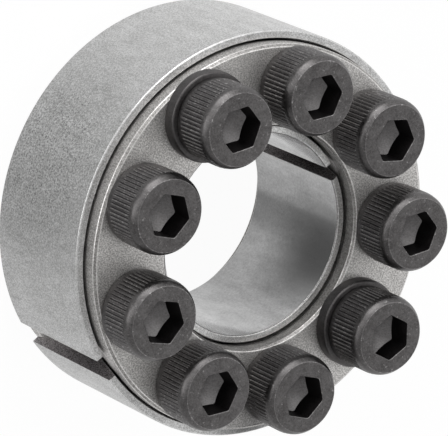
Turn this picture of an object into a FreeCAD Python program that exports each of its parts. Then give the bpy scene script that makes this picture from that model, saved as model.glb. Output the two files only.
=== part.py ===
import FreeCAD, Part
import math
import os

os.makedirs("parts", exist_ok=True)

# Shaft locking assembly for a plain shaft and a plain hub, all sizes in millimetres and degrees.
# Z runs along the shaft towards the screw heads. The origin is the centre of the rear face, on which
# the assembly stands. It is drawn as delivered, loose: the screws still have their travel to close.

# Slit rings
BORE_DIAMETER = 25.0
OUTER_DIAMETER = 50.0
SLIT_RING_LENGTH = 17.0
TAPER_ANGLE = 14.0
OUTER_RING_EDGE_WALL = 0.95
INNER_RING_EDGE_WALL = 0.88
RIDGE_LAND = 1.6
OUTER_SLIT_WIDTH = 3.2
OUTER_SLIT_ANGLE = 54.9
INNER_SLIT_WIDTH = 2.0
INNER_SLIT_ANGLE = 230.2
OUTER_RING_CHAMFER = 0.3
BORE_CHAMFER = 0.3

# Thrust rings
CLAMPED_WIDTH = 20.0
CLOSING_TRAVEL = 0.9
THRUST_RING_THICKNESS = 7.6
CONE_CLEARANCE = 0.3
THRUST_OUTER_CHAMFER = 0.35
THRUST_INNER_CHAMFER = 0.3

# Circle of screws
SCREW_COUNT = 9
CLEARANCE_HOLE_DIAMETER = 6.4
JACKING_THREAD_DIAMETER = 8.0
JACKING_THREAD_PITCH = 1.25
THREAD_CLEARANCE = 0.05
HOLE_CHAMFER = 0.3
WASHERED_SCREWS = (4, 8)

# Socket head cap screw, M6 x 18
THREAD_DIAMETER = 6.0
SCREW_LENGTH = 18.0
TIP_CHAMFER = 0.6
HEAD_DIAMETER = 9.8
HEAD_HEIGHT = 6.0
SHOULDER_WIDTH = 0.5
SHOULDER_HEIGHT = 0.7
SOCKET_ACROSS_FLATS = 5.0
SOCKET_DEPTH = 3.0
SOCKET_FLOOR_ANGLE = 120.0
KNURL_COUNT = 60
KNURL_DEPTH = 0.1
KNURL_STEP = 0.02
KNURL_BOTTOM = 0.9
# How far each hexagon has been turned, in the order of the screws round the circle
SOCKET_TURNS = (10.0, 25.0, 5.0, 52.0, 30.0, 16.0, 27.0, 31.0, 7.0)

# Washer under the screws that stand over the jacking threads
WASHER_OUTER_DIAMETER = 11.0
WASHER_INNER_DIAMETER = 6.4
WASHER_THICKNESS = 1.6
WASHER_CHAMFER = 0.25

# Levels along the axis
TAPER = math.tan(math.radians(TAPER_ANGLE))
LOOSE_WIDTH = CLAMPED_WIDTH + CLOSING_TRAVEL
SLIT_RING_REAR = (LOOSE_WIDTH - SLIT_RING_LENGTH) / 2
SLIT_RING_FRONT = SLIT_RING_REAR + SLIT_RING_LENGTH
MIDDLE = LOOSE_WIDTH / 2
FRONT_FACE = LOOSE_WIDTH

# Radii
BORE_RADIUS = BORE_DIAMETER / 2
OUTER_RADIUS = OUTER_DIAMETER / 2
OUTER_RING_MOUTH = OUTER_RADIUS - OUTER_RING_EDGE_WALL
INNER_RING_MOUTH = BORE_RADIUS + INNER_RING_EDGE_WALL
TAPER_RISE = (SLIT_RING_LENGTH - RIDGE_LAND) / 2 * TAPER
SHANK_RADIUS = (THREAD_DIAMETER - THREAD_CLEARANCE) / 2
TAPPED_RADIUS = (THREAD_DIAMETER + THREAD_CLEARANCE) / 2

# The screws stand halfway between the bore and the outside.
SCREW_CIRCLE_DIAMETER = (BORE_DIAMETER + OUTER_DIAMETER) / 2

# Screw heads
HEAD_RADIUS = HEAD_DIAMETER / 2
KNURL_TOP = HEAD_HEIGHT - SHOULDER_HEIGHT
PITCH_ANGLE = 360.0 / SCREW_COUNT
CUT_MARGIN = 1.0


def turned(outline):
    """Solid of revolution about Z from an outline of (radius, height) points."""
    points = [FreeCAD.Vector(radius, 0, height) for radius, height in outline]
    wire = Part.makePolygon(points + points[:1])
    return Part.Face(wire).revolve(FreeCAD.Vector(0, 0, 0), FreeCAD.Vector(0, 0, 1), 360)


def round_bar(radius, bottom, top):
    """Cylinder on the Z axis between two levels."""
    return Part.makeCylinder(radius, top - bottom, FreeCAD.Vector(0, 0, bottom))


def countersink(radius, chamfer, level, upwards):
    """Cone that breaks the edge of a hole at a level, opening upwards or downwards."""
    reach = chamfer + CUT_MARGIN
    wide = radius + reach
    direction = FreeCAD.Vector(0, 0, 1) if upwards else FreeCAD.Vector(0, 0, -1)
    start = level - chamfer if upwards else level + chamfer
    return Part.makeCone(radius, wide, reach, FreeCAD.Vector(0, 0, start), direction)


def on_screw_circle(shape, number):
    """Copy of a shape at screw 1, 2, 3 and so on, counted anticlockwise seen from the heads."""
    angle = number * PITCH_ANGLE
    copy = shape.copy()
    copy.translate(FreeCAD.Vector(SCREW_CIRCLE_DIAMETER / 2, 0, 0))
    copy.rotate(FreeCAD.Vector(0, 0, 0), FreeCAD.Vector(0, 0, 1), angle)
    return copy


def radial_slit(width, inner, outer, angle):
    """Saw cut through one wall of a ring, along its whole length."""
    height = SLIT_RING_LENGTH + 2 * CUT_MARGIN
    corner = FreeCAD.Vector(inner, -width / 2, SLIT_RING_REAR - CUT_MARGIN)
    slit = Part.makeBox(outer - inner, width, height, corner)
    slit.rotate(FreeCAD.Vector(0, 0, 0), FreeCAD.Vector(0, 0, 1), angle)
    return slit


def outer_ring():
    """Cylinder outside, double taper inside with its narrowest place in the middle."""
    ridge = OUTER_RING_MOUTH - TAPER_RISE
    chamfer = OUTER_RING_CHAMFER
    ring = turned([
        (OUTER_RING_MOUTH, SLIT_RING_REAR),
        (OUTER_RADIUS - chamfer, SLIT_RING_REAR),
        (OUTER_RADIUS, SLIT_RING_REAR + chamfer),
        (OUTER_RADIUS, SLIT_RING_FRONT - chamfer),
        (OUTER_RADIUS - chamfer, SLIT_RING_FRONT),
        (OUTER_RING_MOUTH, SLIT_RING_FRONT),
        (ridge, MIDDLE + RIDGE_LAND / 2),
        (ridge, MIDDLE - RIDGE_LAND / 2),
    ])
    slit = radial_slit(OUTER_SLIT_WIDTH, ridge - CUT_MARGIN, OUTER_RADIUS + CUT_MARGIN, OUTER_SLIT_ANGLE)
    return ring.cut(slit)


def inner_ring():
    """Cylindrical bore, double taper outside with its widest place in the middle."""
    ridge = INNER_RING_MOUTH + TAPER_RISE
    chamfer = BORE_CHAMFER
    ring = turned([
        (BORE_RADIUS + chamfer, SLIT_RING_REAR),
        (INNER_RING_MOUTH, SLIT_RING_REAR),
        (ridge, MIDDLE - RIDGE_LAND / 2),
        (ridge, MIDDLE + RIDGE_LAND / 2),
        (INNER_RING_MOUTH, SLIT_RING_FRONT),
        (BORE_RADIUS + chamfer, SLIT_RING_FRONT),
        (BORE_RADIUS, SLIT_RING_FRONT - chamfer),
        (BORE_RADIUS, SLIT_RING_REAR + chamfer),
    ])
    slit = radial_slit(INNER_SLIT_WIDTH, BORE_RADIUS - CUT_MARGIN, ridge + CUT_MARGIN, INNER_SLIT_ANGLE)
    return ring.cut(slit)


def thrust_ring_blank():
    """Front wedge ring without its holes: a collar that stands proud, then two tapers inwards."""
    outer = OUTER_RING_MOUTH - CONE_CLEARANCE
    inner = INNER_RING_MOUTH + CONE_CLEARANCE
    thin_end = FRONT_FACE - THRUST_RING_THICKNESS
    rise = (SLIT_RING_FRONT - thin_end) * TAPER
    return turned([
        (inner + THRUST_INNER_CHAMFER, FRONT_FACE),
        (outer - THRUST_OUTER_CHAMFER, FRONT_FACE),
        (outer, FRONT_FACE - THRUST_OUTER_CHAMFER),
        (outer, SLIT_RING_FRONT),
        (outer - rise, thin_end),
        (inner + rise, thin_end),
        (inner, SLIT_RING_FRONT),
        (inner, FRONT_FACE - THRUST_INNER_CHAMFER),
    ])


def front_thrust_ring():
    """Wedge ring under the heads: clearance holes, and jacking holes under the washers."""
    bottom = FRONT_FACE - THRUST_RING_THICKNESS - CUT_MARGIN
    top = FRONT_FACE + CUT_MARGIN
    core = (JACKING_THREAD_DIAMETER - JACKING_THREAD_PITCH) / 2
    lead_in = JACKING_THREAD_DIAMETER / 2 + HOLE_CHAMFER - core
    clearance_hole = round_bar(CLEARANCE_HOLE_DIAMETER / 2, bottom, top)
    jacking_hole = round_bar(core, bottom, top)
    jacking_hole = jacking_hole.fuse(countersink(core, lead_in, FRONT_FACE, True))
    ring = thrust_ring_blank()
    for number in range(1, SCREW_COUNT + 1):
        hole = jacking_hole if number in WASHERED_SCREWS else clearance_hole
        ring = ring.cut(on_screw_circle(hole, number))
    return ring


def rear_thrust_ring():
    """Mirrored wedge ring with tapped holes, which the screws pull forwards."""
    ring = thrust_ring_blank().mirror(FreeCAD.Vector(0, 0, MIDDLE), FreeCAD.Vector(0, 0, 1))
    tapped_hole = round_bar(TAPPED_RADIUS, -CUT_MARGIN, THRUST_RING_THICKNESS + CUT_MARGIN)
    tapped_hole = tapped_hole.fuse(countersink(TAPPED_RADIUS, HOLE_CHAMFER, 0, False))
    for number in range(1, SCREW_COUNT + 1):
        ring = ring.cut(on_screw_circle(tapped_hole, number))
    return ring


def knurl():
    """Band of straight teeth rolled round the head, a little proud of its plain part."""
    root = HEAD_RADIUS + KNURL_STEP
    crest = root + KNURL_DEPTH
    points = []
    for flank in range(2 * KNURL_COUNT):
        turn = math.pi * flank / KNURL_COUNT
        radius = crest if flank % 2 else root
        points.append(FreeCAD.Vector(radius * math.cos(turn), radius * math.sin(turn), KNURL_BOTTOM))
    outline = Part.makePolygon(points + points[:1])
    return Part.Face(outline).extrude(FreeCAD.Vector(0, 0, KNURL_TOP - KNURL_BOTTOM))


def socket():
    """Hexagon hole for the key, with the conical floor that the punch leaves."""
    corner = SOCKET_ACROSS_FLATS / 2 / math.cos(math.radians(30))
    bottom = HEAD_HEIGHT - SOCKET_DEPTH
    corners = []
    for side in range(6):
        turn = math.radians(60 * side)
        corners.append(FreeCAD.Vector(corner * math.cos(turn), corner * math.sin(turn), bottom))
    outline = Part.makePolygon(corners + corners[:1])
    hexagon = Part.Face(outline).extrude(FreeCAD.Vector(0, 0, SOCKET_DEPTH + CUT_MARGIN))
    floor_depth = corner / math.tan(math.radians(SOCKET_FLOOR_ANGLE / 2))
    floor = Part.makeCone(0, corner, floor_depth, FreeCAD.Vector(0, 0, bottom - floor_depth))
    lower_hexagon = Part.Face(outline).extrude(FreeCAD.Vector(0, 0, -floor_depth))
    return hexagon.fuse(floor.common(lower_hexagon)).removeSplitter()


def cap_screw_blank():
    """Screw with its head on the level Z = 0 and its thread below, before the socket is made."""
    body = turned([
        (0, -SCREW_LENGTH),
        (SHANK_RADIUS - TIP_CHAMFER, -SCREW_LENGTH),
        (SHANK_RADIUS, -SCREW_LENGTH + TIP_CHAMFER),
        (SHANK_RADIUS, 0),
        (HEAD_RADIUS, 0),
        (HEAD_RADIUS, KNURL_TOP),
        (HEAD_RADIUS - SHOULDER_WIDTH, HEAD_HEIGHT),
        (0, HEAD_HEIGHT),
    ])
    return body.fuse(knurl())


def clamping_screw(blank, hexagon, number):
    """Finished screw in its place, its hexagon turned as the fitter left it."""
    turn = SOCKET_TURNS[(number - 1) % len(SOCKET_TURNS)] - number * PITCH_ANGLE
    key_hole = hexagon.copy()
    key_hole.rotate(FreeCAD.Vector(0, 0, 0), FreeCAD.Vector(0, 0, 1), turn)
    screw = blank.cut(key_hole)
    seat = FRONT_FACE
    if number in WASHERED_SCREWS:
        seat = FRONT_FACE + WASHER_THICKNESS
    screw.translate(FreeCAD.Vector(0, 0, seat))
    return on_screw_circle(screw, number)


def washer(number):
    """Plain washer on the front face, round one screw."""
    inner = WASHER_INNER_DIAMETER / 2
    outer = WASHER_OUTER_DIAMETER / 2
    top = FRONT_FACE + WASHER_THICKNESS
    ring = turned([
        (inner, FRONT_FACE),
        (outer, FRONT_FACE),
        (outer, top - WASHER_CHAMFER),
        (outer - WASHER_CHAMFER, top),
        (inner, top),
    ])
    return on_screw_circle(ring, number)


def export(name, shape):
    """Write one piece as its own file and say how large it is."""
    shape.exportStep("parts/%s.step" % name)
    print("%-20s %9.1f mm3" % (name, shape.Volume))


export("outer_ring", outer_ring())
export("inner_ring", inner_ring())
export("front_thrust_ring", front_thrust_ring())
export("rear_thrust_ring", rear_thrust_ring())

screw_blank = cap_screw_blank()
hexagon_cut = socket()
for place in range(1, SCREW_COUNT + 1):
    export("clamping_screw_%d" % place, clamping_screw(screw_blank, hexagon_cut, place))

for order, place in enumerate(WASHERED_SCREWS, start=1):
    export("washer_%d" % order, washer(place))
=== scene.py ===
# %% [markdown]
# # Shaft locking assembly, 25 x 50 mm
#
# A keyless locking assembly fixes a hub on a plain shaft. Two thin slit rings, one inside the hub and
# one on the shaft, are spread by two wedge-shaped thrust rings that nine screws draw together.
#
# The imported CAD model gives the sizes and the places. This script gives each piece its finish and
# the small forms that the plain CAD solids leave out: rubbed edges, the flat crests of the rolled
# knurl, the broken edge of the hexagon and the screw threads.

# %% Load the frame
import math

import bmesh
import bpy
from mathutils import Matrix, Vector


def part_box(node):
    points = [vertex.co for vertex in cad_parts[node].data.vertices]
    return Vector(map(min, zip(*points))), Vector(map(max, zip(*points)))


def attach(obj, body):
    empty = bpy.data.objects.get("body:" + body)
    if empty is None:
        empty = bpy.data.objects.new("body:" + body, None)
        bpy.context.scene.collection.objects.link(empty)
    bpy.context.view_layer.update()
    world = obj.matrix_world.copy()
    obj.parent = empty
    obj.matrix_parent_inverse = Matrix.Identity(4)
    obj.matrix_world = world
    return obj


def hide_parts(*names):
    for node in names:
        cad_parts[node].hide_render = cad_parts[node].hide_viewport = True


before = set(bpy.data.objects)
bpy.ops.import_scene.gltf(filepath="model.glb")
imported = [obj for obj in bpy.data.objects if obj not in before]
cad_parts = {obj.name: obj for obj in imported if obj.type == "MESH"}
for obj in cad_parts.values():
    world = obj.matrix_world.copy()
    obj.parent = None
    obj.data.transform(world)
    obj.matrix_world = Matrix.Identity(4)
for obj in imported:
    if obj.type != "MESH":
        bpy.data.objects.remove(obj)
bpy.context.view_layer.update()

# %% [markdown]
# ## Sizes
#
# Blender works in metres and the drawing of such a part in millimetres, so one factor turns one into
# the other. The sizes below are the ones that the solids have. Sizes that only one piece needs are
# named where it is made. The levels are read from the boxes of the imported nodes, so that a piece made
# here lands exactly where its solid stands.

# %% Named sizes in millimetres
MM = 0.001

BORE_RADIUS = 12.5
OUTER_RADIUS = 25.0
OUTER_RING_EDGE_WALL = 0.95
INNER_RING_EDGE_WALL = 0.88
OUTER_RING_MOUTH = OUTER_RADIUS - OUTER_RING_EDGE_WALL
INNER_RING_MOUTH = BORE_RADIUS + INNER_RING_EDGE_WALL
RIDGE_LAND = 1.6
TAPER = math.tan(math.radians(14.0))
CONE_CLEARANCE = 0.3
THRUST_RING_THICKNESS = 7.6
SCREW_COUNT = 9
SCREW_CIRCLE_RADIUS = (BORE_RADIUS + OUTER_RADIUS) / 2
WASHERED_SCREWS = (4, 8)
# How far each screw's hexagon is turned in the picture, in degrees.
SOCKET_TURNS = (10.0, 25.0, 5.0, 52.0, 30.0, 16.0, 27.0, 31.0, 7.0)


def level(node, end):
    """Lowest (0) or highest (1) level of a node, in millimetres."""
    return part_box(node)[end][2] / MM


RING_REAR = level("outer_ring", 0)
RING_FRONT = level("outer_ring", 1)
RING_MIDDLE = (RING_REAR + RING_FRONT) / 2
FRONT_FACE = level("front_thrust_ring", 1)
print("slit rings from %.2f to %.2f, front face at %.2f mm" % (RING_REAR, RING_FRONT, FRONT_FACE))

# %% [markdown]
# ## The camera
#
# The photograph looks at the screw side from 52 degrees above the rear face, with a long lens, and
# the part lies on its side in the picture, so the camera is rolled. Aiming by hand would take many
# tries. The edges of the rings are circles, and a circle's picture is an ellipse that fixes the
# camera, so its place, lens and roll were worked out from those ellipses and are written here.

# %% Camera at the photograph's place
CAMERA_PLACE = Vector((330.469, -34.501, 432.794)) * MM
PICTURE_RIGHT = Vector((-0.754516, -0.331033, 0.566677))
PICTURE_UP = Vector((0.223612, -0.941473, -0.252242))
TOWARDS_CAMERA = Vector((0.617012, -0.063605, 0.784379))
LENS_MM = 357.8

camera_data = bpy.data.cameras.new("photo_camera")
camera_data.lens = LENS_MM
camera_data.sensor_width = 36.0
camera_data.sensor_fit = "HORIZONTAL"
camera_data.clip_start = 0.01
camera = bpy.data.objects.new("photo_camera", camera_data)
turn = Matrix((PICTURE_RIGHT, PICTURE_UP, TOWARDS_CAMERA)).transposed()
camera.matrix_world = Matrix.Translation(CAMERA_PLACE) @ turn.to_4x4()
bpy.context.scene.collection.objects.link(camera)
bpy.context.scene.camera = camera
bpy.context.scene.view_settings.view_transform = "Standard"
print("camera %.0f mm from the part, lens %.0f mm" % (CAMERA_PLACE.length / MM, LENS_MM))

# %% [markdown]
# ## Colours and nodes
#
# A colour picked from a picture is an sRGB value, and Blender's sockets want linear light, so every
# colour goes through one function. A second small function adds a shader node with its settings and
# links, which keeps each material short enough to read as a list of what it does. Table and studio
# both look different in a mirror than to the camera, so a third one tells the kinds of rays apart. The
# rest is what the steels share: arithmetic, noise, and a metal surface with its dents.

# %% Colour and node helpers
def linear(hex_colour):
    """Linear RGBA of an sRGB hex colour such as 'a0a09c'."""
    channels = []
    for start in (0, 2, 4):
        value = int(hex_colour[start:start + 2], 16) / 255.0
        channels.append(value / 12.92 if value <= 0.04045 else ((value + 0.055) / 1.055) ** 2.4)
    return (*channels, 1.0)


def add_node(tree, kind, settings=None, values=None, links=None):
    """Add a node. settings are its properties, values its sockets, links come from other sockets."""
    node = tree.nodes.new(kind)
    for name, value in (settings or {}).items():
        setattr(node, name, value)
    for socket, value in (values or {}).items():
        node.inputs[socket].default_value = value
    for socket, source in (links or {}).items():
        tree.links.new(source, node.inputs[socket])
    return node


def new_material(name):
    """Material with an empty node tree and its output."""
    material = bpy.data.materials.new(name)
    material.use_nodes = True
    material.node_tree.nodes.clear()
    output = material.node_tree.nodes.new("ShaderNodeOutputMaterial")
    return material, material.node_tree, output


def worked_out(tree, operation, *numbers):
    """Number that is worked out of the numbers of other nodes."""
    return add_node(tree, "ShaderNodeMath", {"operation": operation},
                    links={socket: node.outputs[0] for socket, node in enumerate(numbers)})


def noise(tree, vector, width, detail, roughness):
    """Noise with spots of a width in millimetres."""
    return add_node(tree, "ShaderNodeTexNoise",
                    values={"Scale": 1 / (width * MM), "Detail": detail, "Roughness": roughness},
                    links={"Vector": vector})


def metal(tree, output, colour, rough, height, depth):
    """Surface of metal with dents of a depth in millimetres."""
    dents = add_node(tree, "ShaderNodeBump", values={"Strength": 1.0, "Distance": depth * MM},
                     links={"Height": height.outputs[0]})
    surface = add_node(tree, "ShaderNodeBsdfPrincipled", values={"Metallic": 1.0},
                       links={"Base Color": colour.outputs[2], "Roughness": rough.outputs[0],
                              "Normal": dents.outputs[0]})
    tree.links.new(surface.outputs[0], output.inputs["Surface"])


def ray_kinds(tree):
    """Light Path node, and a number that is 1 for rays that a surface mirrored or let through."""
    path = add_node(tree, "ShaderNodeLightPath")
    mirrored = add_node(tree, "ShaderNodeMath", {"operation": "MAXIMUM"},
                        links={0: path.outputs["Is Glossy Ray"], 1: path.outputs["Is Transmission Ray"]})
    return path, mirrored


print("steel grey a5a5a2 in linear light:", [round(c, 3) for c in linear("a5a5a2")])

# %% [markdown]
# ## Floor and background
#
# The part stands on its rear face on a plain white table. For what the camera sees, the table glows
# white with a share of ordinary diffuse white, so that the part's soft shadow stays. Mirrored rays
# pass through the table: metal then shows the whole white studio, also the part of it that lies
# below the table, and no dark contact shadow creeps up its sides. Only inside the bore the table lies
# in the ring's own shade. The polished bore mirrors that, darkest from the height where a mirrored
# look meets the middle of the shade, so a dark round patch with a soft rim is laid there.

# %% Finish of the table
SHADE_PLACE = (2.0, 1.0, 0.0)
SHADE_CORE = 2.0
SHADE_REACH = 10.8

floor_white, tree, output = new_material("white_table")
path, mirrored = ray_kinds(tree)
pale = add_node(tree, "ShaderNodeBsdfDiffuse", values={"Color": linear("e6e6e6")})
faint = add_node(tree, "ShaderNodeBsdfDiffuse", values={"Color": linear("505050")})
glow = add_node(tree, "ShaderNodeEmission", values={"Color": linear("ffffff"), "Strength": 0.95})
clear = add_node(tree, "ShaderNodeBsdfTransparent")
shaded = add_node(tree, "ShaderNodeEmission", values={"Color": linear("ffffff"), "Strength": 0.13})
place = add_node(tree, "ShaderNodeTexCoord")
from_shade = add_node(tree, "ShaderNodeVectorMath", {"operation": "DISTANCE"},
                      values={1: [part * MM for part in SHADE_PLACE]},
                      links={0: place.outputs["Object"]})
shade_rim = add_node(tree, "ShaderNodeMapRange", {"interpolation_type": "SMOOTHSTEP"},
                     values={"From Min": SHADE_CORE * MM, "From Max": SHADE_REACH * MM},
                     links={"Value": from_shade.outputs["Value"]})
below = add_node(tree, "ShaderNodeMixShader",
                 links={0: shade_rim.outputs[0], 1: shaded.outputs[0], 2: clear.outputs[0]})
white_with_shadow = add_node(tree, "ShaderNodeAddShader", links={0: faint.outputs[0], 1: glow.outputs[0]})
table = add_node(tree, "ShaderNodeMixShader",
                 links={0: path.outputs["Is Camera Ray"], 1: pale.outputs[0],
                        2: white_with_shadow.outputs[0]})
table = add_node(tree, "ShaderNodeMixShader",
                 links={0: mirrored.outputs[0], 1: table.outputs[0], 2: below.outputs[0]})
tree.links.new(table.outputs[0], output.inputs["Surface"])
print("table:", len(tree.nodes), "nodes, shade", 2 * SHADE_REACH, "mm across")

# %% Floor, marked as stage
FLOOR_HALF_WIDTH_M = 1.5
# The floor lies a hair under the rear face, so that the two are never in one plane.
FLOOR_DROP = 0.01

bm = bmesh.new()
bmesh.ops.create_grid(bm, x_segments=1, y_segments=1, size=FLOOR_HALF_WIDTH_M,
                      matrix=Matrix.Translation((0, 0, -FLOOR_DROP * MM)))
floor_mesh = bpy.data.meshes.new("floor")
bm.to_mesh(floor_mesh)
bm.free()
floor = bpy.data.objects.new("floor", floor_mesh)
floor.data.materials.append(floor_white)
bpy.context.scene.collection.objects.link(floor)
print("floor:", len(floor_mesh.polygons), "face")

# %% [markdown]
# ## The studio that the metal mirrors
#
# Metal has no colour of its own in the shade: it shows what stands round it. The same grey level
# turns up on the outside and in the bore wherever they mirror the same direction, which gives the
# studio away: a room that is brighter behind the part than towards the camera, a slightly dimmer
# ceiling, a dark doorway low on the camera's side with one crisp edge, a pale board beside it, a bright
# panel next to the camera and a weaker one above the picture. Each is a patch in a direction of the
# world, so it stays where it is when somebody walks round the part. An image of a studio would do the
# same, but a picture can't be read line by line. The camera sees plain white, and diffuse light is even.

# %% Directions and patches
def towards(azimuth, elevation):
    """Unit vector of a direction in degrees, from +X anticlockwise and up from the table."""
    flat = math.cos(math.radians(elevation))
    return (flat * math.cos(math.radians(azimuth)), flat * math.sin(math.radians(azimuth)),
            math.sin(math.radians(elevation)))


def soft_patch(tree, direction, centre, start, end, low, high):
    """Number that goes from low to high as a direction turns towards a patch's centre."""
    near = add_node(tree, "ShaderNodeVectorMath", {"operation": "DOT_PRODUCT"},
                    values={1: centre}, links={0: direction})
    return add_node(tree, "ShaderNodeMapRange", {"interpolation_type": "SMOOTHSTEP"},
                    values={"From Min": math.cos(math.radians(start)),
                            "From Max": math.cos(math.radians(end)), "To Min": low, "To Max": high},
                    links={"Value": near.outputs["Value"]})


PANEL = towards(-12.0, 22.0)
print("the bright panel stands towards", [round(part, 2) for part in PANEL])

# %% World
world = bpy.data.worlds.new("white_studio")
bpy.context.scene.world = world
world.use_nodes = True
tree = world.node_tree
tree.nodes.clear()
place = add_node(tree, "ShaderNodeTexCoord")
direction = add_node(tree, "ShaderNodeVectorMath", {"operation": "NORMALIZE"},
                     links={0: place.outputs["Generated"]}).outputs[0]
dim_side = add_node(tree, "ShaderNodeVectorMath", {"operation": "DOT_PRODUCT"},
                    values={1: towards(8.0, 0.0)}, links={0: direction})
room = add_node(tree, "ShaderNodeMapRange",
                values={"From Min": -1.0, "From Max": 1.0, "To Min": 1.1, "To Max": 0.4},
                links={"Value": dim_side.outputs["Value"]})
ceiling = soft_patch(tree, direction, (0.0, 0.0, 1.0), start=95.0, end=50.0, low=1.0, high=0.8)
board = soft_patch(tree, direction, towards(-8.0, -52.0), start=30.0, end=5.0, low=0.0, high=0.11)
door_edge = soft_patch(tree, direction, towards(-20.0, -45.0), start=43.0, end=40.5, low=0.0, high=1.0)
door_depth = soft_patch(tree, direction, towards(34.0, -52.0), start=26.0, end=4.0, low=0.0, high=0.42)
panel = soft_patch(tree, direction, PANEL, start=22.0, end=4.0, low=0.0, high=1.4)
top_panel = soft_patch(tree, direction, towards(-88.0, 48.0), start=38.0, end=10.0, low=0.0, high=0.75)
doorway = worked_out(tree, "MULTIPLY", door_edge, door_depth)
around_door = add_node(tree, "ShaderNodeMath", {"operation": "SUBTRACT"}, {0: 1.0}, {1: doorway.outputs[0]})
level_seen = worked_out(tree, "MULTIPLY_ADD", room, ceiling, board)
level_seen = worked_out(tree, "MULTIPLY", level_seen, around_door)
panels = worked_out(tree, "ADD", panel, top_panel)
level_seen = worked_out(tree, "ADD", level_seen, panels)
path, mirrored = ray_kinds(tree)
even = add_node(tree, "ShaderNodeBackground", values={"Color": linear("ffffff"), "Strength": 0.45})
white = add_node(tree, "ShaderNodeBackground", values={"Color": linear("ffffff"), "Strength": 1.0})
studio = add_node(tree, "ShaderNodeBackground", values={"Color": linear("ffffff")},
                  links={"Strength": level_seen.outputs[0]})
both = add_node(tree, "ShaderNodeMixShader",
                links={0: path.outputs["Is Camera Ray"], 1: even.outputs[0], 2: white.outputs[0]})
both = add_node(tree, "ShaderNodeMixShader",
                links={0: mirrored.outputs[0], 1: both.outputs[0], 2: studio.outputs[0]})
output = add_node(tree, "ShaderNodeOutputWorld", links={"Surface": both.outputs[0]})
print("world:", len(tree.nodes), "nodes")

# %% [markdown]
# ## Light
#
# The photograph has one broad light above the picture's top edge and a weaker one from its left.
# Both are large, so the shadows by the screw heads stay soft. Each lamp is an area light that is
# aimed at the middle of the part.

# %% Two soft boxes
BOX_DISTANCE_M = 0.5


def soft_box(name, direction, size, watts):
    """Square area light of a size in metres that shines on the part from a direction."""
    data = bpy.data.lights.new(name, "AREA")
    data.shape = "SQUARE"
    data.size = size
    data.energy = watts
    lamp = bpy.data.objects.new(name, data)
    aim = Vector((0, 0, RING_MIDDLE * MM))
    lamp.location = aim + direction.normalized() * BOX_DISTANCE_M
    lamp.rotation_euler = (aim - lamp.location).to_track_quat("-Z", "Y").to_euler()
    bpy.context.scene.collection.objects.link(lamp)
    return lamp


key_light = soft_box("key_light", PICTURE_UP * 0.8 + TOWARDS_CAMERA * 0.5, size=0.35, watts=1.3)
side_light = soft_box("side_light", -PICTURE_RIGHT * 0.8 + TOWARDS_CAMERA * 0.6, size=0.3, watts=0.6)
print("lamps:", key_light.name, side_light.name)

# %% [markdown]
# ## Steel of the slit rings
#
# The rings are heat-treated carbon steel. After turning they were blasted with fine grit, which leaves
# millions of tiny dents, and dipped in oil. To the eye that is a pale grey metal with no clear mirror
# image, a grain a fifth of a millimetre wide, and darker stains where the oil dried. It could be a flat
# grey with a high roughness, but that looks like plastic. Here one noise gives both the grain's tone
# and its dents, and a second, larger noise gives the stains. The stains are longer along the axis, the
# way the rings were wiped. Real grit is finer than a pixel of the picture, so the grain is drawn
# about twice as coarse as it is.
#
# The same recipe makes four finishes: the outside, the bore, which was ground to size and is therefore
# smoother, the sawn slit walls, which are dark and rough, and the edges, where the grit is rubbed off
# and the steel shines. The inner ring's narrow front face has the edges' finish too, and the hair-line
# chamfer round its bore the sawn one. Two places are darkened. On the outside, where a hand held the
# part, dark specks of grime cover the steel more and more. In front, between the two lowest screws, the
# steel is painted darker almost evenly, with a few specks: that is painted shade. Specks of a quarter
# of a millimetre are as fine as the picture can show.

# %% Blasted steel
STAIN_WIDTH = 1.4
SPECK_WIDTH = 0.24


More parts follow.
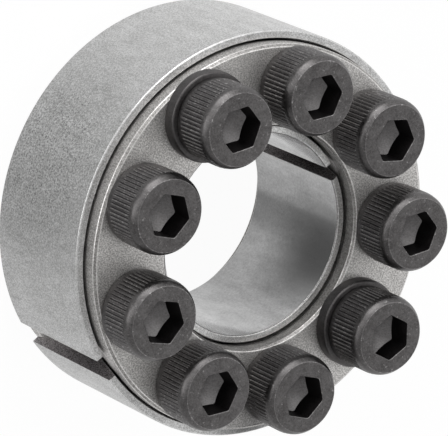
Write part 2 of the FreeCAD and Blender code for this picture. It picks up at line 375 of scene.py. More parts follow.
def blasted_steel(name, light, dark, grain, depth, roughness, stain, spread, dirt_and_shade_places=()):
    """Steel with a grain of a size in millimetres and dents of a depth in millimetres.

    dirt_and_shade_places holds (x, y, z, reach, weight, even_share) of places in millimetres that are
    darkened, with grime at some and with painted shade at others. even_share is the share of the
    darkening that lies evenly, and the rest is specks."""
    material, tree, output = new_material(name)
    place = add_node(tree, "ShaderNodeTexCoord").outputs["Object"]
    grit = noise(tree, place, grain, detail=1.5, roughness=0.7)
    wiped = add_node(tree, "ShaderNodeMapping", values={"Scale": (1.0, 1.0, 0.4)}, links={"Vector": place})
    stains = noise(tree, wiped.outputs[0], STAIN_WIDTH, detail=4.0, roughness=0.65)
    grit_tone = add_node(tree, "ShaderNodeMapRange",
                         values={"From Min": 0.5 - spread, "From Max": 0.5 + spread},
                         links={"Value": grit.outputs[0]})
    stain_tone = add_node(tree, "ShaderNodeMapRange", values={"From Min": 0.3, "From Max": 0.7},
                          links={"Value": stains.outputs[0]})
    tone = add_node(tree, "ShaderNodeMix", {"data_type": "FLOAT"}, {0: stain},
                    {2: grit_tone.outputs[0], 3: stain_tone.outputs[0]})
    colour = add_node(tree, "ShaderNodeMix", {"data_type": "RGBA"}, {6: linear(dark), 7: linear(light)},
                      {0: tone.outputs[0]})
    # Each place mixes the steel towards 505050: grime in specks, painted shade almost evenly.
    for x, y, z, reach, weight, even_share in dirt_and_shade_places:
        away = add_node(tree, "ShaderNodeVectorMath", {"operation": "DISTANCE"},
                        {1: (x * MM, y * MM, z * MM)}, {0: place})
        near = add_node(tree, "ShaderNodeMapRange", {"interpolation_type": "SMOOTHSTEP"},
                        {"From Min": reach * MM, "From Max": reach / 4 * MM, "To Max": weight},
                        {"Value": away.outputs["Value"]})
        specks = noise(tree, place, SPECK_WIDTH, detail=4.0, roughness=0.8)
        specks = add_node(tree, "ShaderNodeMapRange", {},
                          {"From Min": 0.47, "From Max": 0.62, "To Min": even_share}, {"Value": specks.outputs[0]})
        dirt_and_shade = worked_out(tree, "MULTIPLY", near, specks)
        colour = add_node(tree, "ShaderNodeMix", {"data_type": "RGBA"}, {7: linear("505050")},
                          {0: dirt_and_shade.outputs[0], 6: colour.outputs[2]})
    rough = add_node(tree, "ShaderNodeMapRange",
                     values={"To Min": roughness + 0.06, "To Max": roughness - 0.06},
                     links={"Value": tone.outputs[0]})
    metal(tree, output, colour, rough, grit, depth)
    print("%s: grain %.2f mm, dents %.3f mm" % (name, grain, depth))
    return material


print("stains are %.1f mm wide, specks %.2f mm" % (STAIN_WIDTH, SPECK_WIDTH))

# %% Finishes of the slit rings
# The place and the reach, in millimetres, of the grime at the left and of the painted shade
# between the two lowest screws.
DIRTY_SIDE = (25.0, -0.9, 9.0, 17.0)
PAINTED_SHADE_LOW_SCREWS = (-8.6, 21.3, 24.0, 9.0)

# The outside carries both darkened places: grime at the left, painted shade between the two lowest screws.
ring_outside = blasted_steel(
    "blasted_ring_steel", light="ececec", dark="b0b0af", grain=0.19, depth=0.014, roughness=0.5,
    stain=0.35, spread=0.12, dirt_and_shade_places=((*DIRTY_SIDE, 0.75, 0.0), (*PAINTED_SHADE_LOW_SCREWS, 1.5, 0.8)))
ring_bore = blasted_steel(
    "ground_bore_steel", light="cacaca", dark="a6a6a6", grain=0.3, depth=0.0005, roughness=0.17,
    stain=0.6, spread=0.16)
ring_cut = blasted_steel(
    "sawn_slit_steel", light="d0cccd", dark="545052", grain=0.18, depth=0.03, roughness=0.5,
    stain=0.2, spread=0.14)
# The edges carry the painted shade between the two lowest screws as well.
ring_edge = blasted_steel(
    "rubbed_edge_steel", light="f4f4f3", dark="c0c0bf", grain=0.2, depth=0.006, roughness=0.34,
    stain=0.2, spread=0.12, dirt_and_shade_places=((*PAINTED_SHADE_LOW_SCREWS, 1.5, 0.8),))

# %% [markdown]
# ## How a ring is made here
#
# Every ring of this assembly was turned on a lathe, and Spin is Blender's lathe: it carries a flat
# cross-section round the Z axis. A row of tapered cylinders could give the same walls, but each joint
# between them would have to be welded. The section is drawn as one face, because Bevel can then soften
# its corners as a turner breaks them with a file, and a softened corner is what catches a thin line
# of light on real steel. Only afterwards is the section spun.

# %% Lathe helpers
RING_STEPS = 180
# Points closer than the first distance are welded to one. Places that differ by less than the second
# count as the same.
WELD_DISTANCE = 0.002
TOLERANCE = 0.001
# Edges longer than this are the long sides of a section or of an outline.
LONG_EDGE = 2.0


def turned_section(outline, easing=0.0):
    """Cross-section from (radius, height) corners in millimetres, its corners eased."""
    bm = bmesh.new()
    corners = [bm.verts.new((radius * MM, 0.0, height * MM)) for radius, height in outline]
    bm.faces.new(corners)
    if easing:
        bmesh.ops.bevel(bm, geom=corners, offset=easing * MM, offset_type="OFFSET", segments=2,
                        profile=0.5, affect="VERTICES", material=-1)
    return bm


def spin_round(bm, steps):
    """Carry an outline once round the axis, with the last step welded to the first."""
    bmesh.ops.delete(bm, geom=bm.faces[:], context="FACES_ONLY")
    bmesh.ops.spin(bm, geom=bm.verts[:] + bm.edges[:], cent=(0, 0, 0), axis=(0, 0, 1),
                   dvec=(0, 0, 0), angle=2 * math.pi, steps=steps, use_merge=True)


def finished_piece(bm, name, body, node, materials, sharp_over):
    """Weld the mesh, turn its faces outwards and let the piece stand for its CAD node.

    An edge between faces that meet at more than sharp_over degrees stays sharp to the light."""
    bmesh.ops.remove_doubles(bm, verts=bm.verts[:], dist=WELD_DISTANCE * MM)
    bmesh.ops.recalc_face_normals(bm, faces=bm.faces[:])
    open_edges = sum(1 for edge in bm.edges if not edge.is_manifold)
    mesh = bpy.data.meshes.new(name)
    bm.to_mesh(mesh)
    bm.free()
    for material in materials:
        mesh.materials.append(material)
    mesh.shade_smooth()
    mesh.set_sharp_from_angle(angle=math.radians(sharp_over))
    piece = bpy.data.objects.new(name, mesh)
    bpy.context.scene.collection.objects.link(piece)
    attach(piece, body)
    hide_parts(node)
    print("%s: %d faces, %d open edges" % (name, len(mesh.polygons), open_edges))
    return piece


print("one step of a ring is %.1f degrees" % (360 / RING_STEPS))

# %% [markdown]
# ## Slit rings
#
# The two rings that grip the hub and the shaft are thin sleeves. One side of each is a cylinder and
# the other rises on two tapers to a ridge in the middle. A saw cut lets the ring open or close. It
# could be cut with a Boolean, but the cut's walls are parallel and need clean edges of their own. So
# the section is spun over a little less than a turn, and the points of both ends are then turned to
# stand half the cut's width away from its middle plane. Last, all sharp edges are eased.

# %% Slit ring helpers
# Width of each saw cut in millimetres, and its angle in degrees.
OUTER_SLIT = (3.2, 54.9)
INNER_SLIT = (2.0, 230.2)
# The picture shows finer chamfers than the solids have.
OUTER_CHAMFER = 0.13
BORE_CHAMFER = 0.12
RUBBED_WIDTH = 0.05
RUBBED_OVER_DEGREES = 20.0
RING_SHARP_OVER = 9.0
TAPER_RISE = (RING_FRONT - RING_REAR - RIDGE_LAND) / 2 * TAPER
OUTSIDE, BORE, CUT, EDGE = 0, 1, 2, 3


def slit_ring(outline, width, angle):
    """Ring with a parallel saw cut of a width in millimetres at an angle in degrees."""
    bm = turned_section(outline)
    middle = math.radians(angle)
    half_cut = math.asin(width / 2 / outline[0][0])
    first_end = bm.verts[:]
    bmesh.ops.rotate(bm, verts=first_end, cent=(0, 0, 0), matrix=Matrix.Rotation(middle + half_cut, 3, "Z"))
    spun = bmesh.ops.spin(bm, geom=bm.verts[:] + bm.edges[:] + bm.faces[:], cent=(0, 0, 0),
                          axis=(0, 0, 1), dvec=(0, 0, 0), angle=2 * (math.pi - half_cut),
                          steps=RING_STEPS, use_merge=False)
    last_end = [part for part in spun["geom_last"] if isinstance(part, bmesh.types.BMVert)]
    for corners, side in ((first_end, 1), (last_end, -1)):
        for corner in corners:
            radius = corner.co.xy.length
            turn = middle + side * math.asin(width / 2 * MM / radius)
            corner.co.x = radius * math.cos(turn)
            corner.co.y = radius * math.sin(turn)
    bmesh.ops.recalc_face_normals(bm, faces=bm.faces[:])
    return bm


def sort_finishes(bm, bore_radius, flat_finish):
    """Give the bore and its chamfers, the flat faces and the cut's two end walls their own finish."""
    for face in bm.faces:
        radius = face.calc_center_median().xy.length / MM
        if len(face.verts) > 4:
            face.material_index = CUT
        elif abs(radius - bore_radius) < BORE_CHAMFER / 4:
            face.material_index = BORE
        elif abs(face.normal.z) > 0.95:
            face.material_index = flat_finish
        elif radius < bore_radius + BORE_CHAMFER:
            face.material_index = CUT


def rub_edges(bm):
    """Break every sharp edge a little, and rub it bright."""
    sharp = [edge for edge in bm.edges if edge.is_manifold
             and edge.calc_face_angle() > math.radians(RUBBED_OVER_DEGREES)]
    rubbed = bmesh.ops.bevel(bm, geom=sharp, offset=RUBBED_WIDTH * MM, offset_type="OFFSET", segments=2,
                             profile=0.5, affect="EDGES", clamp_overlap=True, material=-1)
    for face in rubbed["faces"]:
        face.material_index = EDGE


print("tapers rise %.2f mm to the ridge" % TAPER_RISE)

# %% Outer and inner slit ring
ring_finishes = [ring_outside, ring_bore, ring_cut, ring_edge]
outer_ridge = OUTER_RING_MOUTH - TAPER_RISE
bm = slit_ring([
    (OUTER_RING_MOUTH, RING_REAR), (OUTER_RADIUS - OUTER_CHAMFER, RING_REAR),
    (OUTER_RADIUS, RING_REAR + OUTER_CHAMFER), (OUTER_RADIUS, RING_FRONT - OUTER_CHAMFER),
    (OUTER_RADIUS - OUTER_CHAMFER, RING_FRONT), (OUTER_RING_MOUTH, RING_FRONT),
    (outer_ridge, RING_MIDDLE + RIDGE_LAND / 2), (outer_ridge, RING_MIDDLE - RIDGE_LAND / 2)], *OUTER_SLIT)
sort_finishes(bm, 0.0, OUTSIDE)
rub_edges(bm)
finished_piece(bm, "outer_slit_ring", "outer_ring", "outer_ring", ring_finishes,
               RING_SHARP_OVER)

inner_ridge = INNER_RING_MOUTH + TAPER_RISE
bm = slit_ring([
    (BORE_RADIUS + BORE_CHAMFER, RING_REAR), (INNER_RING_MOUTH, RING_REAR),
    (inner_ridge, RING_MIDDLE - RIDGE_LAND / 2), (inner_ridge, RING_MIDDLE + RIDGE_LAND / 2),
    (INNER_RING_MOUTH, RING_FRONT), (BORE_RADIUS + BORE_CHAMFER, RING_FRONT),
    (BORE_RADIUS, RING_FRONT - BORE_CHAMFER), (BORE_RADIUS, RING_REAR + BORE_CHAMFER)], *INNER_SLIT)
sort_finishes(bm, BORE_RADIUS, EDGE)
rub_edges(bm)
finished_piece(bm, "inner_slit_ring", "inner_ring", "inner_ring", ring_finishes,
               RING_SHARP_OVER)

# %% [markdown]
# ## Steel of the thrust rings
#
# The thrust rings are the same blasted and oiled steel, but they were hardened, and the heat leaves
# them a little darker and warmer than the slit rings. Their chamfers and the short wall of their bore
# were left as the lathe tool cut them, which is darker again, and the broken edges are thin bright
# lines. The painted shade between the two lowest screws lies on the front ring as well.

# %% Finishes of the thrust rings
# The face and the broken edges carry the painted shade between the two lowest screws.
thrust_steel = blasted_steel(
    "hardened_thrust_steel", light="edebe9", dark="9c9a98", grain=0.19, depth=0.014, roughness=0.5,
    stain=0.25, spread=0.12, dirt_and_shade_places=((*PAINTED_SHADE_LOW_SCREWS, 0.75, 0.8),))
thrust_turned = blasted_steel(
    "turned_wall_steel", light="bcbab8", dark="787674", grain=0.2, depth=0.012, roughness=0.45,
    stain=0.3, spread=0.12)
thrust_edge = blasted_steel(
    "broken_edge_steel", light="f4f2f0", dark="c4c2c0", grain=0.2, depth=0.004, roughness=0.34,
    stain=0.2, spread=0.12, dirt_and_shade_places=((*PAINTED_SHADE_LOW_SCREWS, 1.2, 0.8),))
thrust_finishes = [thrust_steel, thrust_turned, thrust_edge]

# %% [markdown]
# ## Thrust rings
#
# The two wedge rings are turned on the same lathe, then drilled nine times. The rear one is a mirror
# image of the front one. A Boolean could drill the holes, but it leaves ragged faces. Here the walls
# are spun, the holes are bridged between pairs of circles, and the two flat faces are filled last,
# round all the circles at once. Seven holes of the front ring let a screw pass. The two under the
# washers are wider and countersunk, for the screws that push the rings apart again.

# %% Walls, holes and flat faces
THRUST_OUTER = OUTER_RING_MOUTH - CONE_CLEARANCE
THRUST_INNER = INNER_RING_MOUTH + CONE_CLEARANCE
THRUST_OUTER_CHAMFER = 0.35
THRUST_INNER_CHAMFER = 0.3
BROKEN_WIDTH = 0.08
THIN_END = FRONT_FACE - THRUST_RING_THICKNESS
THRUST_RISE = (RING_FRONT - THIN_END) * TAPER
HOLE_STEPS = 48
TURNED, BROKEN_EDGE = 1, 2


def at_screw(number):
    """Place of a screw's axis in metres."""
    turn = 2 * math.pi * number / SCREW_COUNT
    return Vector((SCREW_CIRCLE_RADIUS * math.cos(turn), SCREW_CIRCLE_RADIUS * math.sin(turn), 0)) * MM


def hole_circle(bm, number, radius, height):
    """Circle of edges round a screw's axis."""
    centre = at_screw(number) + Vector((0, 0, height * MM))
    made = bmesh.ops.create_circle(bm, segments=HOLE_STEPS, radius=radius * MM, cap_ends=False,
                                   matrix=Matrix.Translation(centre))
    return list({edge for vert in made["verts"] for edge in vert.link_edges})


def thrust_ring_walls():
    """Walls of the front ring, open where its two flat faces come."""
    bm = turned_section([
        (THRUST_INNER + THRUST_INNER_CHAMFER, FRONT_FACE),
        (THRUST_OUTER - THRUST_OUTER_CHAMFER, FRONT_FACE),
        (THRUST_OUTER, FRONT_FACE - THRUST_OUTER_CHAMFER), (THRUST_OUTER, RING_FRONT),
        (THRUST_OUTER - THRUST_RISE, THIN_END), (THRUST_INNER + THRUST_RISE, THIN_END),
        (THRUST_INNER, RING_FRONT), (THRUST_INNER, FRONT_FACE - THRUST_INNER_CHAMFER)], BROKEN_WIDTH)
    flats = [edge for edge in bm.edges if edge.calc_length() > LONG_EDGE * MM
             and abs(edge.verts[0].co.z - edge.verts[1].co.z) < TOLERANCE * MM]
    bmesh.ops.delete(bm, geom=bm.faces[:], context="FACES_ONLY")
    bmesh.ops.delete(bm, geom=flats, context="EDGES")
    spin_round(bm, RING_STEPS)
    for face in bm.faces:
        middle = face.calc_center_median()
        if min(edge.calc_length() for edge in face.edges) < 1.5 * BROKEN_WIDTH * MM:
            face.material_index = BROKEN_EDGE
        elif middle.z > (FRONT_FACE - THRUST_OUTER_CHAMFER) * MM or middle.xy.length < THRUST_INNER * MM:
            face.material_index = TURNED
    return bm


def drill(bm, number, steps):
    """Hole through both flat faces, as circles of (radius, height) bridged one to the next."""
    circles = [hole_circle(bm, number, radius, height) for radius, height in steps]
    for upper, lower in zip(circles, circles[1:]):
        bmesh.ops.bridge_loops(bm, edges=upper + lower)


def fill_flat(bm, height):
    """Fill a flat face round every open rim that lies at its height."""
    rims = [edge for edge in bm.edges if len(edge.link_faces) == 1
            and all(abs(vert.co.z - height * MM) < WELD_DISTANCE * MM for vert in edge.verts)]
    bmesh.ops.triangle_fill(bm, use_beauty=True, use_dissolve=False, edges=rims, normal=(0, 0, 1))


wedge_width = THRUST_OUTER - THRUST_INNER
print("wedge from %.2f to %.2f mm wide" % (wedge_width, wedge_width - 2 * THRUST_RISE))

# %% Front thrust ring
CLEARANCE_HOLE_RADIUS = 3.2
JACKING_CORE_RADIUS = 3.375
JACKING_MOUTH_RADIUS = 4.3

countersunk = FRONT_FACE - (JACKING_MOUTH_RADIUS - JACKING_CORE_RADIUS)
bm = thrust_ring_walls()
for number in range(1, SCREW_COUNT + 1):
    if number in WASHERED_SCREWS:
        drill(bm, number, ((JACKING_MOUTH_RADIUS, FRONT_FACE), (JACKING_CORE_RADIUS, countersunk),
                           (JACKING_CORE_RADIUS, THIN_END)))
    else:
        drill(bm, number, ((CLEARANCE_HOLE_RADIUS, FRONT_FACE), (CLEARANCE_HOLE_RADIUS, THIN_END)))
fill_flat(bm, FRONT_FACE)
fill_flat(bm, THIN_END)
finished_piece(bm, "front_wedge_ring", "front_thrust_ring", "front_thrust_ring",
               thrust_finishes, RING_SHARP_OVER)

# %% [markdown]
# ## Screw threads
#
# An M6 thread climbs one millimetre a turn. A displaced cylinder could suggest it, but from behind one
# looks straight into the tapped holes and at the screws' tips. Spin can climb as it turns, so one tooth
# of the thread, carried round and up, makes the whole helix. The screw's thread and the hole's thread
# start from the same line, so their teeth lie in each other's gaps, with a few hundredths of a
# millimetre to spare, and stay there when a screw turns and sinks.

# %% Thread helper
THREAD_PITCH = 1.0
THREAD_STEPS = 36
CUT_TOLERANCE = 0.0001
SCREW_ROOT, SCREW_CREST = 2.36, 2.975
HOLE_CREST, HOLE_ROOT = 2.46, 3.02
# One tooth of each as (radius, rise): a flat near the core, a flank out, a flat and a flank back.
SCREW_TOOTH = ((SCREW_ROOT, 0.0), (SCREW_ROOT, 0.25), (SCREW_CREST, 0.5625), (SCREW_CREST, 0.6875),
               (SCREW_ROOT, THREAD_PITCH))
HOLE_TOOTH = ((HOLE_CREST, 0.0), (HOLE_CREST, 0.25), (HOLE_ROOT, 0.53), (HOLE_ROOT, 0.72),
              (HOLE_CREST, THREAD_PITCH))


def helix(tooth, bottom, top):
    """Thread on the Z axis, trimmed at two levels in millimetres. Its phase is that of level 0.

    It is made with a spare turn over each end, which the trimming takes off."""
    bm = bmesh.new()
    turns = math.ceil(top) - math.floor(bottom) + 2
    start = (math.floor(bottom) - 1) * THREAD_PITCH
    corners = [bm.verts.new((radius * MM, 0.0, (start + rise) * MM)) for radius, rise in tooth]
    for near, far in zip(corners, corners[1:]):
        bm.edges.new((near, far))
    bmesh.ops.spin(bm, geom=bm.verts[:] + bm.edges[:], cent=(0, 0, 0), axis=(0, 0, 1),
                   dvec=(0, 0, THREAD_PITCH * MM / THREAD_STEPS), angle=2 * math.pi * turns,
                   steps=THREAD_STEPS * turns, use_merge=False)
    bmesh.ops.remove_doubles(bm, verts=bm.verts[:], dist=WELD_DISTANCE * MM)
    for height, upward in ((bottom, -1), (top, 1)):
        bmesh.ops.bisect_plane(bm, geom=bm.verts[:] + bm.edges[:] + bm.faces[:], dist=CUT_TOLERANCE * MM,
                               plane_co=(0, 0, height * MM), plane_no=(0, 0, upward), clear_outer=True)
    return bm


trial = helix(SCREW_TOOTH, -3.0, 0.0)
lowest = min(vert.co.z for vert in trial.verts) / MM
highest = max(vert.co.z for vert in trial.verts) / MM
print("three turns of thread: %d faces, from %.2f to %.2f mm" % (len(trial.faces), lowest, highest))
trial.free()

# %% Tapped holes
HEAD_HEIGHT = 6.0
TAPPED_MOUTH_RADIUS = 3.325
SPARE_LENGTH = 0.5


def merge_mesh(bm, part):
    """Add a part to a mesh, and free the part."""
    part_mesh = bpy.data.meshes.new("part")
    part.to_mesh(part_mesh)
    part.free()
    bm.from_mesh(part_mesh)
    bpy.data.meshes.remove(part_mesh)


def put_on_axis(bm, number, height):
    """Turn a mesh on the Z axis as a screw's hexagon stands, and move it to that screw's axis."""
    bmesh.ops.rotate(bm, verts=bm.verts[:], cent=(0, 0, 0),
                     matrix=Matrix.Rotation(math.radians(SOCKET_TURNS[number - 1]), 3, "Z"))
    bmesh.ops.translate(bm, verts=bm.verts[:], vec=at_screw(number) + Vector((0, 0, height * MM)))


def seat_of(number):
    """Level of the underside of a screw's head, in millimetres."""
    return level("clamping_screw_%d" % number, 1) - HEAD_HEIGHT


def tapped_hole(number):
    """Threaded wall of a hole, opened by a countersink at the rear face.

    The thread reaches below that face, is pushed out to the countersink's cone and then trimmed."""
    phase = seat_of(number) % THREAD_PITCH
    bm = helix(HOLE_TOOTH, -phase - SPARE_LENGTH, THRUST_RING_THICKNESS - phase)
    put_on_axis(bm, number, phase)
    axis = at_screw(number).xy
    for vert in bm.verts:
        out = vert.co.xy - axis
        cone = (TAPPED_MOUTH_RADIUS - max(vert.co.z / MM, 0.0)) * MM
        if out.length < cone:
            vert.co.xy = axis + out.normalized() * cone
    bmesh.ops.bisect_plane(bm, geom=bm.verts[:] + bm.edges[:] + bm.faces[:], dist=CUT_TOLERANCE * MM,
                           plane_co=(0, 0, 0), plane_no=(0, 0, -1), clear_outer=True)
    return bm


print("screw 1 seats at %.2f mm, screw 4 at %.2f mm" % (seat_of(1), seat_of(4)))

# %% Rear thrust ring
bm = thrust_ring_walls()
bmesh.ops.translate(bm, verts=bm.verts[:], vec=(0, 0, -FRONT_FACE * MM))
bmesh.ops.scale(bm, verts=bm.verts[:], vec=(1, 1, -1))
for number in range(1, SCREW_COUNT + 1):
    merge_mesh(bm, tapped_hole(number))
fill_flat(bm, 0.0)
fill_flat(bm, THRUST_RING_THICKNESS)
finished_piece(bm, "rear_wedge_ring", "rear_thrust_ring", "rear_thrust_ring",
               thrust_finishes, RING_SHARP_OVER)

# %% [markdown]
# ## Black oxide
#
# The screws are alloy steel, blackened in a hot salt bath and oiled. The bath turns the skin of the
# steel itself into a thin layer of black iron oxide, so it hides no form. It looks like a very dark
# metal with a satin shine, cloudy where the oil is uneven, with pale specks where the screws knocked
# together in their box. Paint would be thicker and even. On the rims the oxide is rubbed thin and shows
# lighter. The knurl's flanks get the same lighter finish as painted sheen, for the bright lines along
# the knurl. The socket's floor is painted lighter as well, as painted light in the socket. The knurl's
# grooves and the socket's walls are almost black: painted shade in these hollows, with oil that stays
# there. The washers, stamped from strip, are a little duller than the screws.

# %% Finishes of the screws and washers
CLOUD_WIDTH = 1.6
OXIDE_GRAIN = 0.2
KNOCK_WIDTH = 0.45
OXIDE_DENTS = 0.006


def black_oxide(name, light, dark, roughness, rubbed, wear):
    """Blackened steel with clouds of oil. More wear shows more specks of the rubbed colour."""
    material, tree, output = new_material(name)
    place = add_node(tree, "ShaderNodeTexCoord").outputs["Object"]
    clouds = noise(tree, place, CLOUD_WIDTH, detail=4.0, roughness=0.7)
    grit = noise(tree, place, OXIDE_GRAIN, detail=1.5, roughness=0.7)
    knocks = noise(tree, place, KNOCK_WIDTH, detail=5.0, roughness=0.75)
    both = add_node(tree, "ShaderNodeMix", {"data_type": "FLOAT"}, {0: 0.5},
                    {2: clouds.outputs[0], 3: grit.outputs[0]})
    tone = add_node(tree, "ShaderNodeMapRange", values={"From Min": 0.35, "From Max": 0.65},
                    links={"Value": both.outputs[0]})
    skin = add_node(tree, "ShaderNodeMix", {"data_type": "RGBA"}, {6: linear(dark), 7: linear(light)},
                    {0: tone.outputs[0]})
    bare = add_node(tree, "ShaderNodeMapRange", values={"From Min": 0.72 - wear, "From Max": 0.86 - wear},
                    links={"Value": knocks.outputs[0]})
    colour = add_node(tree, "ShaderNodeMix", {"data_type": "RGBA"}, {7: linear(rubbed)},
                      {0: bare.outputs[0], 6: skin.outputs[2]})
    rough = add_node(tree, "ShaderNodeMapRange",
                     values={"To Min": roughness - 0.06, "To Max": roughness + 0.08},
                     links={"Value": tone.outputs[0]})
    metal(tree, output, colour, rough, both, OXIDE_DENTS)
    print(name, "ready")
    return material


screw_black = black_oxide(
    "black_oxide_screw", light="706e6e", dark="514f4f", roughness=0.38, rubbed="b0aeae", wear=0.12)
# Rubbed oxide on the rims and the socket's mouth; on the knurl's flanks this lighter finish is painted
# sheen.
rubbed_and_sheen_black = black_oxide(
    "black_oxide_rubbed_rim_and_sheen", light="868484", dark="666464", roughness=0.38, rubbed="c0bebe", wear=0.18)
# Painted light: the socket's floor is made lighter to stand in for the light that falls into the socket.
lit_floor_black = black_oxide(
    "painted_light_socket_floor", light="929090", dark="6c6a6a", roughness=0.4, rubbed="c0bebe", wear=0.0)
washer_black = black_oxide(
    "black_oxide_washer", light="676565", dark="4d4b4b", roughness=0.42, rubbed="a09e9e", wear=0.06)
# Painted shade with oil: the almost black finish of the knurl's grooves and the socket's walls.
shade_and_oil_black = black_oxide(
    "oily_hollows_painted_shade", light="423f40", dark="2e2c2d", roughness=0.5, rubbed="6c6a6a", wear=0.0)

# %% [markdown]
# ## Cap screws
#
# A socket head cap screw is cold-forged: a punch presses the hexagon into the head, and rollers press
# the fine straight knurl into its side and the thread into the shank. One screw is made here and
# copied nine times. The knurl could be an image of dents, but its teeth break the head's outline, so
# they are real: the side is spun with four steps to each tooth, and the points of the knurled band
# move out and in with the tooth, less and less towards its ends. Four steps are enough for a flat
# crest, a groove and a flank on either side, which is what the rollers leave, and the crest, the flank
# and the groove each get their own finish.

# %% Head with its knurl
HEAD_RADIUS = 4.9
FACE_RADIUS = 4.4
KNURL_TOP = 5.3
KNURL_COUNT = 60
KNURL_DEPTH = 0.1
KNURL_LIFT = 0.03
KNURL_STEPS = 4 * KNURL_COUNT
# A wave a little higher than 1 and cut off there has flat crests and grooves.
KNURL_WAVE_HEIGHT = 1.42
# Heights between which the knurl rises from nothing, and sinks to nothing again.
KNURL_RISES = (0.6, 1.0)
KNURL_SINKS = (4.6, 5.1)
# Heights between which its crests, flanks and grooves have finishes of their own.
KNURL_BAND = (0.9, 4.8)
SIDE_ROWS = 18
FACE_EASING = 0.06
# The section starts at this radius. What lies inside it is filled later.
SECTION_START = 2.0
RIM, FLOOR, GROOVE = 1, 2, 3


def fade(value, start, end):
    """0 before start, 1 after end, smooth between."""
    share = min(max((value - start) / (end - start), 0.0), 1.0)
    return share * share * (3 - 2 * share)


def ease_corner(bm, radius, height, size, segments):
    """Round one corner of a flat section."""
    corner = min(bm.verts, key=lambda vert: (vert.co - Vector((radius, 0, height)) * MM).length)
    bmesh.ops.bevel(bm, geom=[corner], offset=size * MM, offset_type="OFFSET", segments=segments,
                    profile=0.5, affect="VERTICES", material=-1)


def knurl_wave(place):
    """1 on a crest and -1 in a groove of the knurl, flat on both."""
    phase = KNURL_COUNT * math.atan2(place.y, place.x) + math.pi / 4
    return max(-1.0, min(1.0, KNURL_WAVE_HEIGHT * math.cos(phase)))


def knurled_head():
    """Side of the head, open where its face comes above and its shank below."""
    bm = turned_section([(SECTION_START, 0.0), (HEAD_RADIUS, 0.0), (HEAD_RADIUS, KNURL_TOP),
                         (FACE_RADIUS, HEAD_HEIGHT), (SECTION_START, HEAD_HEIGHT)])
    ease_corner(bm, HEAD_RADIUS, 0.0, size=0.25, segments=3)
    ease_corner(bm, HEAD_RADIUS, KNURL_TOP, size=0.3, segments=5)
    ease_corner(bm, FACE_RADIUS, HEAD_HEIGHT, size=FACE_EASING, segments=2)
    side = [edge for edge in bm.edges if edge.calc_length() > LONG_EDGE * MM
            and all(vert.co.x > (HEAD_RADIUS - TOLERANCE) * MM for vert in edge.verts)]
    bmesh.ops.subdivide_edges(bm, edges=side, cuts=SIDE_ROWS)
    bmesh.ops.delete(bm, geom=bm.faces[:], context="FACES_ONLY")
    unseen = [edge for edge in bm.edges
              if all(vert.co.x < (SECTION_START + TOLERANCE) * MM for vert in edge.verts)
              or all(vert.co.z > (HEAD_HEIGHT - TOLERANCE) * MM for vert in edge.verts)
              or all(vert.co.z < TOLERANCE * MM for vert in edge.verts)]
    bmesh.ops.delete(bm, geom=unseen, context="EDGES")
    spin_round(bm, KNURL_STEPS)
    for vert in bm.verts:
        height = vert.co.z / MM
        swell = fade(height, *KNURL_RISES) * (1 - fade(height, *KNURL_SINKS))
        wave = knurl_wave(vert.co)
        if swell > 0:
            radius = vert.co.xy.length + swell * (KNURL_LIFT + KNURL_DEPTH * wave / 2) * MM
            vert.co.xy = vert.co.xy.normalized() * radius
    # The rim gets the rubbed finish. In the knurled band the flanks get it too, as painted sheen, and the
    # grooves the almost black painted shade with oil.
    for face in bm.faces:
        middle = face.calc_center_median()
        wave = knurl_wave(middle)
        if middle.z > (HEAD_HEIGHT - FACE_EASING) * MM:
            face.material_index = RIM
        elif KNURL_BAND[0] * MM < middle.z < KNURL_BAND[1] * MM and wave < 0.9:
            face.material_index = GROOVE if wave < -0.9 else RIM
    return bm


screw = knurled_head()
print("head:", len(screw.faces), "faces,", KNURL_STEPS, "steps round it")

# %% [markdown]
# ## Hexagon socket
#
# The punch leaves six flat walls that meet in slightly rounded corners, an edge that is a little
# broken at the mouth, and a conical floor. The socket is pulled down from the head's face the way the
# punch went: the mouth's outline is extruded once for the broken edge, once for the walls, and a third
# time to the one point at the bottom of the cone.

# %% Socket and face
ACROSS_FLATS = 5.0
SOCKET_CORNER = ACROSS_FLATS / 2 / math.cos(math.radians(30))
SOCKET_DEPTH = 3.0
FLOOR_SLOPE = math.tan(math.radians(30))
CORNER_ROUNDING = 0.2
# The broken edge widens the mouth by this much at the corners, and goes this deep.
MOUTH_WIDER = 0.08
MOUTH_DEEP = 0.06
WALL_CUTS = 4


def extruded(bm, edges):
    """New edges and points of an open outline that was extruded in place."""
    made = bmesh.ops.extrude_edge_only(bm, edges=edges)["geom"]
    points = [part for part in made if isinstance(part, bmesh.types.BMVert)]
    fresh = set(points)
    return [part for part in made if isinstance(part, bmesh.types.BMEdge)
            and all(vert in fresh for vert in part.verts)], points


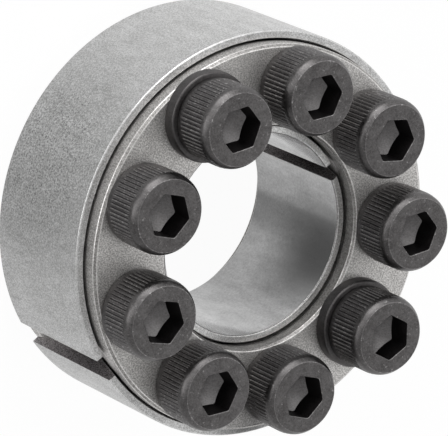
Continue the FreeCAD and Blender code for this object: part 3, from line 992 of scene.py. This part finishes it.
def press_socket(bm):
    """Hexagon hole in the head's face, then the flat face round it."""
    rim = [edge for edge in bm.edges if len(edge.link_faces) == 1 and edge.verts[0].co.z > MM]
    mouth_radius = SOCKET_CORNER + MOUTH_WIDER
    made = bmesh.ops.create_circle(bm, segments=6, radius=mouth_radius * MM, cap_ends=True,
                                   matrix=Matrix.Translation((0, 0, HEAD_HEIGHT * MM))
                                   @ Matrix.Rotation(math.radians(30), 4, "Z"))
    bmesh.ops.bevel(bm, geom=made["verts"], offset=CORNER_ROUNDING * MM, offset_type="OFFSET", segments=2,
                    profile=0.5, affect="VERTICES", material=-1)
    outline = max(bm.faces, key=lambda face: len(face.verts))
    long_sides = [edge for edge in outline.edges if edge.calc_length() > LONG_EDGE * MM]
    bmesh.ops.subdivide_edges(bm, edges=long_sides, cuts=WALL_CUTS)
    outline = max(bm.faces, key=lambda face: len(face.verts))
    mouth = outline.edges[:]
    bmesh.ops.delete(bm, geom=[outline], context="FACES_ONLY")
    edges, points = extruded(bm, mouth)
    share = SOCKET_CORNER / mouth_radius
    for point in points:
        point.co.xy *= share
        point.co.z -= MOUTH_DEEP * MM
    edges, points = extruded(bm, edges)
    deep = (HEAD_HEIGHT - SOCKET_DEPTH) * MM
    for point in points:
        point.co.z = deep - (SOCKET_CORNER * MM - point.co.xy.length) * FLOOR_SLOPE
    edges, points = extruded(bm, edges)
    bmesh.ops.pointmerge(bm, verts=points, merge_co=(0, 0, deep - SOCKET_CORNER * MM * FLOOR_SLOPE))
    # The mouth's broken edge is rubbed, the floor's lighter finish is painted light, and the walls' almost
    # black one is painted shade with oil.
    for face in bm.faces:
        middle = face.calc_center_median()
        if middle.xy.length < mouth_radius * MM and middle.z > (HEAD_HEIGHT - MOUTH_DEEP) * MM:
            face.material_index = RIM
        elif len(face.verts) == 3 and middle.xy.length < SOCKET_CORNER * MM:
            face.material_index = FLOOR
        elif middle.xy.length < mouth_radius * MM and middle.z > 0:
            face.material_index = GROOVE
    bmesh.ops.triangle_fill(bm, use_beauty=True, use_dissolve=False, edges=rim + mouth, normal=(0, 0, 1))


press_socket(screw)
print("screw head with socket:", len(screw.faces), "faces")

# %% [markdown]
# ## Shank, and nine copies
#
# The shank is threaded up to the head, and its tip is chamfered so that it finds its hole. Both are
# done to the helix made above: the teeth near the tip are pushed in to a cone. Head and shank could
# stay two shells, but a screw is forged in one piece, so the head's underside is filled from its rim
# to the root of the first thread. Each copy is turned as its hexagon stands in the picture, and its
# tapped hole above was turned by as much.

# %% Nine cap screws
SCREW_LENGTH = 18.0
TIP_RADIUS = 2.375


def threaded_shank():
    """M6 thread with a chamfered tip, open where it meets the head."""
    bm = helix(SCREW_TOOTH, -SCREW_LENGTH, 0.0)
    for vert in bm.verts:
        limit = (TIP_RADIUS + vert.co.z / MM + SCREW_LENGTH) * MM
        if vert.co.xy.length > limit:
            vert.co.xy = vert.co.xy.normalized() * limit
    fill_flat(bm, -SCREW_LENGTH)
    return bm


merge_mesh(screw, threaded_shank())
fill_flat(screw, 0.0)
for number in range(1, SCREW_COUNT + 1):
    bm = screw.copy()
    put_on_axis(bm, number, seat_of(number))
    node = "clamping_screw_%d" % number
    finished_piece(bm, "cap_screw_%d" % number, node, node,
                   [screw_black, rubbed_and_sheen_black, lit_floor_black, shade_and_oil_black], sharp_over=25.0)
screw.free()

# %% [markdown]
# ## Washers
#
# Two of the screws stand over the threads that push the rings apart again, and each has a plain
# washer under its head, punched from blackened strip. The punch rounds the upper edge.

# %% Two washers
WASHER_RADIUS = 5.5
WASHER_BORE_RADIUS = 3.2
WASHER_STEPS = 96

for order, number in enumerate(WASHERED_SCREWS, start=1):
    top = level("washer_%d" % order, 1)
    bm = turned_section([(WASHER_BORE_RADIUS, FRONT_FACE), (WASHER_RADIUS, FRONT_FACE),
                         (WASHER_RADIUS, top), (WASHER_BORE_RADIUS, top)])
    ease_corner(bm, WASHER_RADIUS, top, size=0.3, segments=4)
    ease_corner(bm, WASHER_RADIUS, FRONT_FACE, size=0.08, segments=2)
    spin_round(bm, WASHER_STEPS)
    bmesh.ops.translate(bm, verts=bm.verts[:], vec=at_screw(number))
    finished_piece(bm, "plain_washer_%d" % order, "front_thrust_ring", "washer_%d" % order,
                   [washer_black], sharp_over=12.0)
